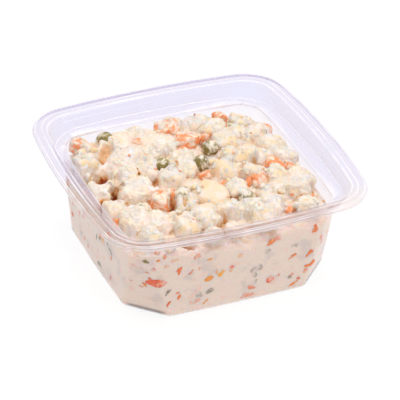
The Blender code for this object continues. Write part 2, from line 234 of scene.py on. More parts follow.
tubForm = {
    "rimWidth": 126 * mm, "height": 48.2 * mm, "wall": 0.5 * mm,
    "rimCorner": 19.4 * mm, "rimBow": 412 * mm, "bodyBow": 900 * mm,
    "lipDrop": 2.0 * mm, "bead": 2.2 * mm, "flange": 6.4 * mm, "flangeSink": 0.4 * mm,
    "rib": 4.4 * mm, "ribHalf": 0.6 * mm, "ribHeight": 0.3 * mm,
    "ledgeStart": 8.0 * mm, "ledgeEnd": 13.6 * mm, "ledgeDepth": 7.6 * mm, "ledgeCorner": 20.5 * mm,
    "bodyInsetTop": 14.1 * mm, "bodyInsetBase": 14.9 * mm, "bodyTopDepth": 9.3 * mm,
    "bodyCorner": 4.0 * mm, "facetTop": 7.0 * mm, "facetBase": 20.5 * mm, "heel": 3.0 * mm,
    "tightest": 0.5 * mm, "baseInset": 0.4 * mm, "sideSteps": 14, "cornerSteps": 8, "heelSteps": 6,
    "cut": 0.55 * mm, "cutShare": 0.45,  # how much of the sheet beside a bend goes into its curve
}


def ringOutline(inset, corner, bow, facet=0.0):
    # A square with bowed sides and rounded corners; a facet flattens each corner
    form = tubForm
    halfWidth = form["rimWidth"] / 2 - inset
    drop = bow - halfWidth
    reach = (drop + facet / math.sqrt(2)) / (math.sqrt(2) * (bow - corner))
    sideAngle = math.acos(reach) - math.pi / 4
    quarter = []
    for step in range(form["sideSteps"]):
        angle = sideAngle * (2 * step / form["sideSteps"] - 1)
        quarter.append((bow * math.sin(angle), bow * math.cos(angle) - drop))
    centreX = (bow - corner) * math.sin(sideAngle)
    centreY = (bow - corner) * math.cos(sideAngle) - drop
    arc = []
    for step in range(form["cornerSteps"] + 1):
        share = step / form["cornerSteps"]
        if facet == 0.0 and step == form["cornerSteps"]:
            share -= 0.33 / form["cornerSteps"]  # keeps the two halves' last points apart
        angle = sideAngle + (math.pi / 4 - sideAngle) * share
        arc.append((centreX + corner * math.sin(angle), centreY + corner * math.cos(angle)))
    quarter += arc + [(y, x) for x, y in reversed(arc)][:-1]
    points = []
    for turn in range(4):
        for x, y in quarter:
            for _ in range(turn):
                x, y = y, -x
            points.append((x, y))
    points.reverse()
    return points


def bodySection(depth):
    form = tubForm
    share = (depth - form["bodyTopDepth"]) / (form["height"] - form["bodyTopDepth"])
    share = min(max(share, 0.0), 1.0)
    inset = form["bodyInsetTop"] + (form["bodyInsetBase"] - form["bodyInsetTop"]) * share
    facet = form["facetTop"] + (form["facetBase"] - form["facetTop"]) * share ** 1.4
    return inset, facet


def ring(outline, depth):
    depths = depth if isinstance(depth, list) else [depth] * len(outline)
    return np.array([(x, y, tubForm["height"] - d) for (x, y), d in zip(outline, depths)])


def bodyRing(depth, offset=0.0):
    inset, facet = bodySection(depth)
    return ringOutline(inset + offset, tubForm["bodyCorner"] - offset, tubForm["bodyBow"], facet)


def heelRings(offset):
    form = tubForm
    steps = form["heelSteps"]
    turnDepth = form["height"] - form["heel"]
    radius = form["heel"] - offset
    inset, facet = bodySection(turnDepth)
    rings = []
    for step in range(steps + 1):
        angle = math.pi / 2 * step / steps
        inward = form["heel"] - radius * math.cos(angle)
        corner = form["bodyCorner"] - min(inward, form["bodyCorner"] - form["tightest"])
        outline = ringOutline(inset + inward, corner, form["bodyBow"], facet)
        rings.append(ring(outline, turnDepth + radius * math.sin(angle)))
    return rings


def easeRings(rings):
    # Rounds each bend between the rings, as a moulded sheet bends
    cut, most = tubForm["cut"], tubForm["cutShare"]
    eased = [rings[0]]
    for before, here, after in zip(rings, rings[1:], rings[2:]):
        toBefore, toAfter = before - here, after - here
        lengthBefore = np.linalg.norm(toBefore, axis=1, keepdims=True)
        lengthAfter = np.linalg.norm(toAfter, axis=1, keepdims=True)
        first = here + toBefore * np.minimum(most, cut / lengthBefore)
        last = here + toAfter * np.minimum(most, cut / lengthAfter)
        eased += [first, (first + 2 * here + last) / 4, last]
    return eased + [rings[-1]]


def extrudeRings(name, rings):
    # A circle shaped to the first ring and extruded from ring to ring
    clearSelection()
    bpy.ops.mesh.primitive_circle_add(vertices=len(rings[0]), radius=tubForm["rimWidth"] / 2)
    piece = bpy.context.object
    piece.name = name
    bpy.ops.object.mode_set(mode="EDIT")
    shape = bmesh.from_edit_mesh(piece.data)
    place = shape.verts.layers.int.new("place")
    for index, vert in enumerate(shape.verts):
        vert[place] = index
        vert.co = rings[0][index]
    for points in rings[1:]:
        bpy.ops.mesh.extrude_region()
        shape = bmesh.from_edit_mesh(piece.data)
        place = shape.verts.layers.int["place"]
        for vert in shape.verts:
            if vert.select:
                vert.co = points[vert[place]]
    bmesh.update_edit_mesh(piece.data)
    return piece


def closeBase(piece):
    # The last ring is still selected: it becomes the flat base
    bpy.ops.mesh.edge_face_add()
    bpy.ops.mesh.inset(thickness=tubForm["baseInset"])
    bpy.ops.object.mode_set(mode="OBJECT")
    piece.data.attributes.remove(piece.data.attributes["place"])


# Clear tub

plasticLook = {
    "film": (0.908, 0.905, 0.992), "edgeFilm": (0.93, 0.89, 0.885), "edgeBlend": 0.30,
    # The next line's second tint is the salad's warm colour, painted into the front rim as a reflection
    "wallFilm": (0.972, 0.958, 0.968), "saladReflectionTint": (0.945, 0.907, 0.893),
    "haze": (0.70, 0.63, 0.68), "hazeFaceOn": 0.055, "hazeAtGlance": 0.09,
    "mirror": (0.98, 0.98, 1.0), "mirrorFaceOn": 0.02, "mirrorAtGlance": 0.42, "mirrorRise": 5.0,
    "gloss": 0.07, "waveSize": 55.0, "waveHeight": 0.12, "waveDepth": 1.0 * mm,
    # The next line's first colour is painted as pale highlight lines at tight bends
    "line": (0.97, 0.96, 0.99), "highlightShare": 0.75, "highlightFrom": 0.35,
    "bendFrom": 5.0, "bendTo": 20.0,  # degrees between the sheet's faces
    "wallBelow": 10.5 * mm, "rimAbove": 8.0 * mm,  # depths between which the sheet gets thin
    "wallShare": 0.15, "frontShare": 0.3,  # how much of the rim's film and haze is left there
    # The painted reflection of the salad covers the rim this far towards the camera
    "toFront": (-0.39, -0.92), "warmFrom": 15 * mm, "warmTo": 38 * mm,  # from the middle to the camera
}


def makePlastic(look):
    material, tree, shader, spot = newFinish("clearPlastic")
    tree.nodes.remove(shader)
    wave = addNoise(tree, spot, look["waveSize"], 2.0, 0.5)
    ripple = addBump(tree, wave, look["waveHeight"], look["waveDepth"])
    slant = addNode(tree, "LayerWeight", {"Blend": look["edgeBlend"]}).outputs["Facing"]
    tint = addBlend(tree, slant, look["film"], look["edgeFilm"])
    tint = addBlend(tree, addMark(tree, "thick"), look["wallFilm"], tint)
    # Painted reflection: the rim in front of the heap is tinted with the salad's warm colour
    tint = addBlend(tree, addMark(tree, "warm"), tint, look["saladReflectionTint"])
    skin = addNode(tree, "BsdfTransparent", {"Color": tint})
    # The sheet scatters a little cool light; tight bends in it get painted pale highlight lines
    haze = addNode(tree, "BsdfDiffuse", {"Color": (*look["haze"], 1.0)})
    hazeShare = addRange(tree, slant, 0.0, 1.0, look["hazeFaceOn"], look["hazeAtGlance"], "LINEAR")
    hazeShare = addMath(tree, "MULTIPLY", hazeShare, addMark(tree, "thick"))
    line = addNode(tree, "BsdfDiffuse", {"Color": (*look["line"], 1.0)})
    highlightShare = addRange(tree, addMark(tree, "bend"), look["highlightFrom"], 1.0, 0.0, look["highlightShare"])
    highlightShare = addMath(tree, "MULTIPLY", highlightShare, addRange(tree, wave, 0.35, 0.65, 0.35, 1.0))
    # Mirrors little face on and much at a glance, the same from inside the wall as from outside
    mirror = addNode(tree, "BsdfGlossy", {"Roughness": look["gloss"], "Color": (*look["mirror"], 1.0),
                                          "Normal": ripple})
    glance = addNode(tree, "LayerWeight", {"Blend": 0.5, "Normal": ripple}).outputs["Facing"]
    glance = addMath(tree, "POWER", glance, look["mirrorRise"])
    glance = addRange(tree, glance, 0.0, 1.0, look["mirrorFaceOn"], look["mirrorAtGlance"], "LINEAR")
    for share, layer in ((hazeShare, haze), (highlightShare, line), (glance, mirror)):
        skin = addNode(tree, "MixShader", {0: share, 1: skin.outputs[0], 2: layer.outputs[0]})
    tree.links.new(skin.outputs[0], tree.nodes["Material Output"].inputs["Surface"])
    return material


def markSheet(piece, look):
    # How sharply the sheet turns at each point, where it stays thick (the rim that the walls are
    # drawn down from) and where it gets a painted reflection of the salad's colour (the rim in front of the
    # heap, towards the camera)
    shape = bmesh.new()
    shape.from_mesh(piece.data)
    turns = [max([edge.calc_face_angle(0.0) for edge in vert.link_edges]) for vert in shape.verts]
    depths = np.array([tubForm["height"] - vert.co.z for vert in shape.verts])
    toFront = np.array([vert.co.x * look["toFront"][0] + vert.co.y * look["toFront"][1]
                        for vert in shape.verts])
    shape.free()
    rim = 1.0 - smoothStep(depths, look["rimAbove"], look["wallBelow"])
    warm = rim * smoothStep(toFront, look["warmFrom"], look["warmTo"])
    thick = look["wallShare"] + (1.0 - look["wallShare"]) * rim
    addPointMark(piece, "bend", smoothStep(np.degrees(turns), look["bendFrom"], look["bendTo"]))
    addPointMark(piece, "thick", thick * (1.0 - (1.0 - look["frontShare"]) * warm))
    addPointMark(piece, "warm", warm)


def makeTub():
    form, rim, wall = tubForm, tubForm["rimCorner"], tubForm["wall"]
    bead, flange, ledge, rib = form["bead"], form["flange"], form["ledgeStart"], form["rib"]
    sink, deep, side = form["flangeSink"] + wall, form["ledgeDepth"], form["ribHalf"]
    stations = (  # inset from the rim's edge, depth below its crest, corner radius
        (wall + 0.15 * mm, form["lipDrop"], rim),
        (wall, 1.3 * mm, rim),
        (wall + 0.2 * mm, wall + 0.3 * mm, rim),
        (bead / 2 + wall / 2, wall + 0.05 * mm, rim - bead / 2),
        (bead, sink, rim - bead),
        (rib - side, sink, rim - rib + side),
        (rib, sink - form["ribHeight"], rim - rib),
        (rib + side, sink, rim - rib - side + 0.5 * mm),
        (flange, sink, rim - flange + 1.5 * mm),
        (flange + 0.5 * mm, sink + 0.8 * mm, rim - flange + 2 * mm),
        (flange + 0.8 * mm, sink + 2.6 * mm, rim - flange + 2.6 * mm),
        (flange + 1.2 * mm, sink + 3.2 * mm, rim - flange + 2.8 * mm),
        (ledge, deep - 0.2 * mm, form["ledgeCorner"]),
        (ledge + 0.6 * mm, deep + wall, form["ledgeCorner"] - 0.6 * mm),
        (form["ledgeEnd"], deep + wall + 0.3 * mm, form["bodyCorner"] + 6 * mm),
    )
    rings = [ring(ringOutline(inset, corner, form["rimBow"] - inset), depth)
             for inset, depth, corner in stations]
    depths = np.linspace(form["bodyTopDepth"], form["height"] - form["heel"], 8)[:-1]
    rings += [ring(bodyRing(depth), float(depth)) for depth in depths]
    rings = easeRings(rings) + heelRings(0.0)
    tub = extrudeRings("clearTub", rings)
    closeBase(tub)
    addModifier(tub, "wall", "SOLIDIFY", thickness=wall, offset=-1.0, use_even_offset=True)
    applyAll(tub)
    bpy.ops.object.shade_smooth_by_angle(angle=math.radians(50))
    markSheet(tub, plasticLook)
    finishPiece(tub, makePlastic(plasticLook), "tub")


# The heap: where its pieces lie, in mm from the tub's centre

potatoBits = (  # x, y, edge, and how well the dressing covers it
    (-43, 26, 15, 0.45), (-14, 37, 15, 0.7), (-25.5, 23, 16, 0.8), (-29.5, -5, 16, 0.8),
    (-39, -24, 13, 0.9), (-32, -30, 14, 0.9), (-5, 25, 12, 0.8), (-45, 5, 13, 0.8), (-2, 12, 11, 0.8),
    (-12.5, 0, 11, 0.7), (-1, -17, 17, 0), (26.5, 7, 12, 0.25), (26, -23, 15, 0.6), (36, -24, 15, 0.6),
    (13, -1.5, 13, 0.4), (-15, -21, 12, 0.5), (29.5, 23, 12, 0.6), (38, 21, 11, 0.7), (15.5, 38, 13, 0.5),
    (22, 20.5, 11, 0.5), (40, 11, 12, 0.6), (42, 1, 12, 0.7), (42, -18, 11, 0.8), (11, -33, 12, 0.7),
    (1.5, -31, 12, 0.6), (-20, -35, 12, 0.5), (-9.5, -33, 12, 0.5), (20, -35, 12, 0.9), (23, -9, 10, 0.7),
    (-19, 13.5, 11, 0.8), (-44, -13, 11, 0.9), (21, 32, 12, 0.5), (35, 33, 10, 0.6), (-37, 36, 8, 0.8),
    (32, 1, 10, 0.8), (6, 45, 10, 0.7), (-30, 9, 10, 0.8),
)
carrotBits = (  # x, y, edge, and how thickly the dressing veils it
    (2, 40.5, 11, 0.36), (6.2, 26, 9.5, 0.34), (13.5, 24.5, 4, 0.2), (-18.3, 17, 5, 0.35),
    (-40.5, 40.5, 7, 0.8), (-16.6, 31, 4, 0.15), (28, 41.5, 6, 0.2), (36.3, 31, 6, 0.3),
    (43.5, 25.5, 6, 0.15), (34.5, -5, 10, 0.15), (23, -14, 7, 0.6), (-23, -15.5, 9, 0.58),
    (2.7, -2.6, 4.5, 0.2), (0, 17.5, 5, 0.45), (-45, -21, 6.5, 0.4), (41, -8.5, 6, 0.6),
    (43, -18, 5, 0.35), (-27.6, -6.6, 4, 0.35), (-14.2, 1.3, 5, 0.4), (-47, 29.4, 3.5, 0.2),
    (-43, 12.5, 3.5, 0.2), (7.2, -12.2, 4, 0.3), (18.3, -14, 4, 0.2), (41, -33.5, 3.5, 0.2),
    (26.8, -38.7, 3.5, 0.4), (-38, -27, 3, 0.3), (-38, -31.5, 2.4, 0.5), (35.6, 3.5, 4, 0.3),
    (40, 1, 4, 0.4), (-17.4, -11.4, 4.5, 0.3), (4, -22, 3, 0.3),
)
peaBits = (  # x, y, how thickly the dressing veils it, and how much higher it stands, in mm
    (-28, 40, 0.2, 4.6), (-46.5, 30, 0.2, 0), (-12.4, 10.4, 0.18, 1.4), (13.4, 16.7, 0.66, 1),
    (4.6, 6.5, 0.68, 1.2), (12.8, -25.6, 0.9, 0), (-11.9, -12.6, 0.9, -1), (-12.8, -32, 0.9, -1),
    (27.7, 30.4, 0.85, -1), (-33, -19, 0.95, -1),
)
heapForm = {
    "contactDepth": 16.6 * mm, "contactWave": 1.5 * mm,  # where the salad leaves the wall
    "waves": ((0.6, 5, 0.8), (0.4, 11, 2.1)), "frontBlend": (-4 * mm, 8 * mm),
    "coreFront": 11.8 * mm, "coreBack": 9.2 * mm, "uneven": 1.2 * mm, "unevenSize": 16 * mm,
    "shoulder": 13 * mm, "shoulderRise": 2.2, "cornerShare": 0.6, "headroom": 5.2 * mm,
    "coreRings": 18, "coreEase": 1.6, "sideDepths": (20 * mm, 24 * mm, 29 * mm, 34 * mm, 40 * mm),
    "intoWall": 0.28 * mm, "cadWall": 0.6 * mm, "cadGap": 0.35 * mm, "clearance": 0.8 * mm,
    "wallRoom": 0.45,  # the share of a bit's reach that stays clear of the wall
    "buried": 1.5,  # how much further than the skin the bits sink in a gap
    "heavyFrom": 12 * mm, "heavySink": 28.0,  # more sunk for each metre of edge
    "peaRadius": 4.1 * mm, "fillerEdge": 8.5 * mm, "fillerCount": 260, "fillerSpacing": 0.42,
    "fillerSpread": 1.25, "fillerFromWall": 0.6, "fillerFromGap": 0.3, "fillerCover": 0.6,
    "seed": 12, "voxel": 0.5 * mm, "mostTriangles": 190000,
    "topInward": (0.6 * mm, 3.0 * mm), "topHeights": (24 * mm, 28 * mm),  # what counts as the top
}
frontLine = (  # along the front wall, and how far below the rim the salad leaves it, in mm
    (-41, 14.5), (-37, 13.8), (-28, 15.7), (-21, 16.9), (-9, 17.3), (0, 18.5), (5, 20), (10, 18.3),
    (19, 17.9), (24, 15.2), (29, 14.6), (34, 17.5), (41, 16.4),
)
swells = (  # x, y, radius, height in mm: where the heap stands higher or lower
    (-17, 39, 13, 3.6), (-28, 36, 9, 1.6), (-38, 30, 9, 1), (38, 36, 11, -2.5), (-45, 4, 7, -3),
)
gaps = (  # x, y, half length and half width, depth in mm: openings and creases between the lumps
    (-39.4, 12.8, 5.4, 3.6, 10), (-37.4, 1, 3.6, 2.7, 8.5), (-45.6, -4, 3.4, 2.8, 8),
    (-19, -18.5, 4.5, 1.6, 8), (-36.3, 25.6, 2.6, 2, 6), (-31.7, 30.2, 6, 2.6, 5),
    (-35.4, 5.9, 6, 1.4, 3.6), (-22.1, -4.5, 5, 1.2, 3), (-14.4, -21.2, 5, 1, 3.6),
    (23.4, -0.5, 1.6, 3.2, 5), (27.4, 0.2, 3, 1.4, 5.4), (16.1, -11.4, 2.2, 2, 4.4),
    (42.7, -27, 3, 1.2, 4.6), (-5.7, -24.5, 1.4, 2.6, 5.2), (-3, -34.8, 1.4, 2.4, 5.2),
    (28.7, 32.7, 1.8, 1, 4), (-34.5, 36.5, 4.5, 2.4, 4), (-20.8, -28.9, 3.5, 1.1, 4),
    (12.6, 21.5, 1.4, 2, 4), (39.3, 18.4, 3, 1.2, 3.5), (29, 19.6, 1.2, 2.6, 4),
    (-22.8, -43.6, 1.6, 3, 6),
)
# Besides sinking, each gap gets painted shade: more for a deeper gap, up to a most
gapForm = {
    "turn": 67.0,  # degrees
    "wobble": 0.35, "wobbleSize": 4 * mm, "edge": 3.0, "dark": 0.075, "mostShade": 0.75,
}


def contactDepth(x, y):
    angle = math.atan2(y, x)
    wave = sum(high * math.sin(count * angle + start) for high, count, start in heapForm["waves"])
    allRound = heapForm["contactDepth"] + heapForm["contactWave"] * wave
    alongFront, depths = zip(*frontLine)
    front = float(np.interp(x / mm, alongFront, depths)) * mm
    share = float(smoothStep(-y - abs(x), *heapForm["frontBlend"]))
    return allRound * (1 - share) + front * share


def coreDepth(x, y):
    half = tubForm["rimWidth"] / 2 - tubForm["bodyInsetTop"]
    backShare = 0.5 + 0.5 * y / half
    depth = heapForm["coreFront"] + (heapForm["coreBack"] - heapForm["coreFront"]) * backShare
    return depth + heapForm["uneven"] * noise.noise(Vector((x, y, 0.0)) / heapForm["unevenSize"])


def wallDistance(x, y):
    inset, facet = bodySection(heapForm["contactDepth"])
    half = tubForm["rimWidth"] / 2 - inset
    cut = facet / math.sqrt(2) + heapForm["cornerShare"] * tubForm["bodyCorner"]
    toSide = half - np.maximum(np.abs(x), np.abs(y))
    toFacet = (2 * half - cut - np.abs(x) - np.abs(y)) / math.sqrt(2)
    return np.minimum(toSide, toFacet)


def surfaceDepth(x, y):
    inward = wallDistance(x, y) - heapForm["cadWall"] - heapForm["cadGap"]
    share = min(max(inward / heapForm["shoulder"], 0.0), 1.0)
    rise = 1.0 - (1.0 - share) ** heapForm["shoulderRise"]
    depth = contactDepth(x, y) * (1 - rise) + coreDepth(x, y) * rise
    for swellX, swellY, radius, height in swells:
        away = math.hypot(x - swellX * mm, y - swellY * mm) / (radius * mm)
        depth -= height * mm * math.exp(-away * away)
    return depth


def gapDepth(points):
    # How far each point sinks in the openings, and how much painted shade the deepest of them gives it
    along = math.radians(gapForm["turn"])
    wobble = [1 + gapForm["wobble"] * noise.noise(Vector((x, y, 0.0)) / gapForm["wobbleSize"])
              for x, y, z in points]
    deep, dark = np.zeros(len(points)), np.zeros(len(points))
    for gapX, gapY, halfLength, halfWidth, depth in gaps:
        x, y = points[:, 0] - gapX * mm, points[:, 1] - gapY * mm
        length = (x * math.cos(along) + y * math.sin(along)) / (halfLength * mm)
        width = (y * math.cos(along) - x * math.sin(along)) / (halfWidth * mm)
        share = np.exp(-(np.hypot(length, width) * wobble) ** gapForm["edge"])
        deep = np.maximum(deep, depth * mm * share)
        gapShade = min(gapForm["mostShade"], gapForm["dark"] * depth)
        dark = np.maximum(dark, gapShade * smoothStep(share, 0.1, 0.5))
    return deep, dark


def inGap(x, y, margin):
    return any(math.hypot(x - gapX * mm, y - gapY * mm) < halfWidth * mm + margin
               for gapX, gapY, halfLength, halfWidth, depth in gaps)


def insideWall(points):
    # Flattens what would reach through the wall against it
    inset, facet = bodySection(heapForm["contactDepth"])
    side = tubForm["rimWidth"] / 2 - inset - heapForm["cadWall"] - heapForm["clearance"]
    points[:, :2] = np.clip(points[:, :2], -side, side)
    over = heapForm["cadWall"] + heapForm["clearance"] - wallDistance(points[:, 0], points[:, 1])
    over = np.maximum(over, 0.0) / math.sqrt(2)
    points[:, :2] -= np.sign(points[:, :2]) * over[:, None]
    return points


def fillerPlaces():
    # Smaller dice lie on a spiral, where it is clear of the larger pieces
    form = heapForm
    half = tubForm["rimWidth"] / 2 - tubForm["bodyInsetTop"]
    goldenAngle = math.pi * (3 - math.sqrt(5))
    taken = [(x * mm, y * mm, edge * mm) for x, y, edge, cover in potatoBits + carrotBits]
    taken += [(x * mm, y * mm, 2 * form["peaRadius"]) for x, y, cover, lift in peaBits]
    places = []
    for step in range(form["fillerCount"]):
        radius = form["fillerSpread"] * half * math.sqrt((step + 0.5) / form["fillerCount"])
        x = radius * math.cos(step * goldenAngle)
        y = radius * math.sin(step * goldenAngle)
        margin = form["fillerFromGap"] * form["fillerEdge"]
        if wallDistance(x, y) < form["fillerFromWall"] * form["fillerEdge"] or inGap(x, y, margin):
            continue
        if all(math.hypot(x - a, y - b) > form["fillerSpacing"] * (form["fillerEdge"] + edge)
               for a, b, edge in taken):
            places.append((x, y))
            taken.append((x, y, form["fillerEdge"]))
    return places


bitKinds = {  # how far it sinks and tilts, half its width, how square it is, its dents and pits
    "potato": {"sink": 0.36, "tilt": 0.5, "face": 0.54, "square": 3.3, "lumps": 0.075, "pits": 0.022},
    "filler": {"sink": 0.35, "tilt": 0.8, "face": 0.54, "square": 3.3, "lumps": 0.09, "pits": 0.03},
    "carrot": {"sink": 0.25, "tilt": 0.6, "face": 0.525, "square": 5.5, "lumps": 0.09, "pits": 0.05},
    "pea": {"sink": 0.30, "tilt": 0.4, "face": 0.5, "square": 2.0, "lumps": 0.03, "pits": 0.012},
    "crumble": {"sink": 0.30, "face": 0.5, "square": 3.2, "lumps": 0.16, "pits": 0.05},
    "curd": {"sink": 0.35, "face": 0.5, "square": 2.2, "lumps": 0.22, "pits": 0.06},
    "speck": {"sink": 0.30, "face": 0.5, "square": 3.0, "lumps": 0.16, "pits": 0.05},
}
lumpSize, pitSize = 1.3, 4.5
masterForms = {"dice": 8, "smallDice": 3, "pea": 4, "curd": 2}  # how finely each is divided
ballMasters = ("pea", "curd")


def makeMasters():
    # One cut dice and one pea are modelled, fine and coarse; every bit is a copy with its own shape
    masters = {}
    for name, fineness in masterForms.items():
        clearSelection()
        if name in ballMasters:
            bpy.ops.mesh.primitive_ico_sphere_add(subdivisions=fineness, radius=1.0)
        else:
            bpy.ops.mesh.primitive_cube_add(size=2.0)
            bpy.ops.object.mode_set(mode="EDIT")
            bpy.ops.mesh.subdivide(number_cuts=fineness)
            bpy.ops.object.mode_set(mode="OBJECT")
        piece = bpy.context.object
        points = np.array([vert.co for vert in piece.data.vertices])
        masters[name] = (points, [tuple(face.vertices) for face in piece.data.polygons])
        bpy.data.objects.remove(piece)
    return masters


def roundOff(points, power):
    # From a cube (a high power) to a ball (2)
    return points / ((np.abs(points) ** power).sum(axis=1) ** (1 / power))[:, None]


def shapeBit(kind, edge, proportions, mark, master):
    # Rounded cube (or ball) with soft dents and small pits
    look = bitKinds[kind]
    form = roundOff(master[0], look["square"])
    out = form / np.linalg.norm(form, axis=1)[:, None]
    swell = np.array([look["lumps"] * noise.noise(Vector(p) * lumpSize + mark)
                      + look["pits"] * noise.noise(Vector(p) * pitSize + mark) for p in form])
    form = form * look["face"] + out * swell[:, None]
    return form * np.array(proportions) * edge


def layBits(masters):
    # Every bit gets its own seed; it is turned, set on the core and kept inside the wall
    form = heapForm
    jobs = [("potato", x * mm, y * mm, edge * mm, cover, 0) for x, y, edge, cover in potatoBits]
    jobs += [("carrot", x * mm, y * mm, edge * mm, cover, 0) for x, y, edge, cover in carrotBits]
    jobs += [("pea", x * mm, y * mm, 2 * form["peaRadius"], cover, lift) for x, y, cover, lift in peaBits]
    jobs += [("filler", x, y, form["fillerEdge"], form["fillerCover"], 0) for x, y in fillerPlaces()]
    bits = []
    for index, (kind, x, y, edge, cover, lift) in enumerate(jobs):
        look = bitKinds[kind]
        draw = random.Random(form["seed"] * 1000 + index)
        turn = Euler((draw.uniform(-look["tilt"], look["tilt"]),
                      draw.uniform(-look["tilt"], look["tilt"]), draw.uniform(0, math.pi)))
        proportions = (1.0, draw.uniform(0.78, 1.0), draw.uniform(0.66, 0.86))
        if kind == "pea":
            proportions = (1.0, draw.uniform(0.93, 1.0), draw.uniform(0.88, 0.97))
        if kind == "filler":
            edge *= draw.uniform(0.8, 1.15)
        mark = Vector((draw.uniform(0, 99), draw.uniform(0, 99), draw.uniform(0, 99)))
        master = masters["pea" if kind == "pea" else "dice"]
        points = shapeBit(kind, edge, proportions, mark, master)
        points = points @ np.array(turn.to_matrix()).T
        reach = np.hypot(points[:, 0], points[:, 1]).max()
        height = points[:, 2].max()
        room = wallDistance(x, y) - form["cadWall"] - form["clearance"]
        if room < reach * form["wallRoom"]:
            shift = min((reach * form["wallRoom"] - room) / math.hypot(x, y), 0.5)
            x, y = x * (1 - shift), y * (1 - shift)
        depth = surfaceDepth(x, y) - lift * mm
        sink = look["sink"]
        if kind == "potato":
            sink += form["heavySink"] * max(edge - form["heavyFrom"], 0.0)
        depth = max(depth - height * (1 - 2 * sink), height + form["headroom"])
        centre = np.array((x, y, tubForm["height"] - depth))
        points = insideWall(points + centre) - centre
        bits.append({"kind": kind, "points": points, "faces": master[1], "centre": centre,
                     "edge": edge, "cover": cover})
    return bits


scattered = (  # kind, count, smallest and largest edge
    ("crumble", 45, 3.0 * mm, 6.0 * mm),
    ("curd", 150, 0.8 * mm, 2.6 * mm),
    ("speck", 40, 1.0 * mm, 2.6 * mm),
)
scatterForm = {"fromWall": 2.2 * mm, "mostlySmall": 2.2}


def scatterBits(kind, count, smallest, largest, tree, masters):
    # Small bits dropped from above on whatever lies under them
    look = bitKinds[kind]
    draw = random.Random(heapForm["seed"] * 10 + count)
    master = masters["curd" if kind == "curd" else "smallDice"]
    half = tubForm["rimWidth"] / 2 - tubForm["bodyInsetTop"]
    laid = []
    while len(laid) < count:
        x, y = draw.uniform(-half, half), draw.uniform(-half, half)
        if wallDistance(x, y) < scatterForm["fromWall"] or inGap(x, y, 0.0):
            continue
        spot, normal = tree.ray_cast(Vector((x, y, 2 * tubForm["height"])), Vector((0, 0, -1)))[:2]
        edge = smallest + (largest - smallest) * draw.random() ** scatterForm["mostlySmall"]
        turn = Euler([draw.uniform(0, math.pi) for _ in range(3)]).to_matrix()
        proportions = (1.0, draw.uniform(0.55, 0.95), draw.uniform(0.4, 0.7))
        mark = Vector([draw.uniform(0, 99) for _ in range(3)])
        points = shapeBit(kind, edge, proportions, mark, master) @ np.array(turn).T
        centre = np.array(spot + normal * edge * (0.5 - look["sink"]) * proportions[2])
        centre[2] = min(centre[2], tubForm["height"] - heapForm["headroom"] - edge * 0.5)
        laid.append({"kind": kind, "points": points, "faces": master[1], "centre": centre,
                     "cover": draw.random()})
    return laid


def gatherBits(bits, points, faces, grow=lambda bit: 1.0):
    # Adds every bit's points and faces; grow swells or shrinks each about its own centre
    for bit in bits:
        faces += [tuple(index + len(points) for index in face) for face in bit["faces"]]
        points += (bit["points"] * grow(bit) + bit["centre"]).tolist()
    return points, faces


def joinBits(name, bits, **settings):
    points, faces = gatherBits(bits, [], [], **settings)
    mesh = bpy.data.meshes.new(name)
    mesh.from_pydata(points, [], faces)
    mesh.update()
    piece = bpy.data.objects.new(name, mesh)
    bpy.context.scene.collection.objects.link(piece)
    pick(piece)
    bpy.ops.object.shade_smooth()
    return piece


def markBits(piece, name, values, bits):
    # One value a bit, for its finish to read
    addPointMark(piece, name, np.repeat(values, [len(bit["points"]) for bit in bits]))


# Dressed mass: the core and a coat over every bit, in one skin

coatGrow = {  # how far the coat swells round a bit, from the barest to the best covered
    "potato": (0.95, 1.11), "filler": (0.97, 1.12), "carrot": (0.86, 1.04), "pea": (0.80, 1.0),
    "crumble": (0.97, 1.10), "curd": (1.0, 1.0), "speck": (0.5, 0.6),
}
relief = (  # noise, size and height
    ("SOFT_NOISE", 5.5 * mm, 1.4 * mm), ("HARD_NOISE", 3.2 * mm, 1.5 * mm),
    ("SOFT_NOISE", 1.6 * mm, 0.9 * mm),
)


def makeCore():
    form = heapForm
    offset = form["intoWall"]
    topOutline = bodyRing(form["contactDepth"], offset)
    rings = []
    for step in range(1, form["coreRings"]):
        share = 1.0 - (1.0 - step / form["coreRings"]) ** form["coreEase"]
        outline = [(x * share, y * share) for x, y in topOutline]
        rings.append(ring(outline, [surfaceDepth(x, y) for x, y in outline]))
    rings.append(ring(topOutline, [contactDepth(x, y) for x, y in topOutline]))
    for depth in form["sideDepths"]:
        rings.append(ring(bodyRing(depth, offset), depth))
    rings += heelRings(offset)
    core = extrudeRings("dressedMass", rings)
    closeBase(core)
    crown = bmesh.new()
    crown.from_mesh(core.data)
    bmesh.ops.contextual_create(crown, geom=[edge for edge in crown.edges if edge.is_boundary])
    bmesh.ops.recalc_face_normals(crown, faces=crown.faces)
    crown.to_mesh(core.data)
    crown.free()
    return core


def readVectors(mesh, name="co"):
    values = np.empty(len(mesh.vertices) * 3)
    mesh.vertices.foreach_get(name, values)
    return values.reshape(-1, 3)


def heapMask(mesh):
    # The mass's points, and which of them are on top of the heap
    points = readVectors(mesh)
    inward = wallDistance(points[:, 0], points[:, 1])
    return points, (smoothStep(inward, *heapForm["topInward"])
                    * smoothStep(points[:, 2], *heapForm["topHeights"]))


groupLevels = 20


def addGroup(piece, name, weights):
    group = piece.vertex_groups.new(name=name)
    levels = np.round(weights * groupLevels).astype(int)
    for level in range(1, groupLevels + 1):
        members = np.nonzero(levels == level)[0].tolist()
        if members:
            group.add(members, level / groupLevels, "REPLACE")


def treeOver(core, bits):
    points = [tuple(vert.co) for vert in core.data.vertices]
    faces = [tuple(face.vertices) for face in core.data.polygons]
    return BVHTree.FromPolygons(*gatherBits(bits, points, faces))


def coatShare(bit):
    least, most = coatGrow[bit["kind"]]
    return least + (most - least) * bit["cover"]


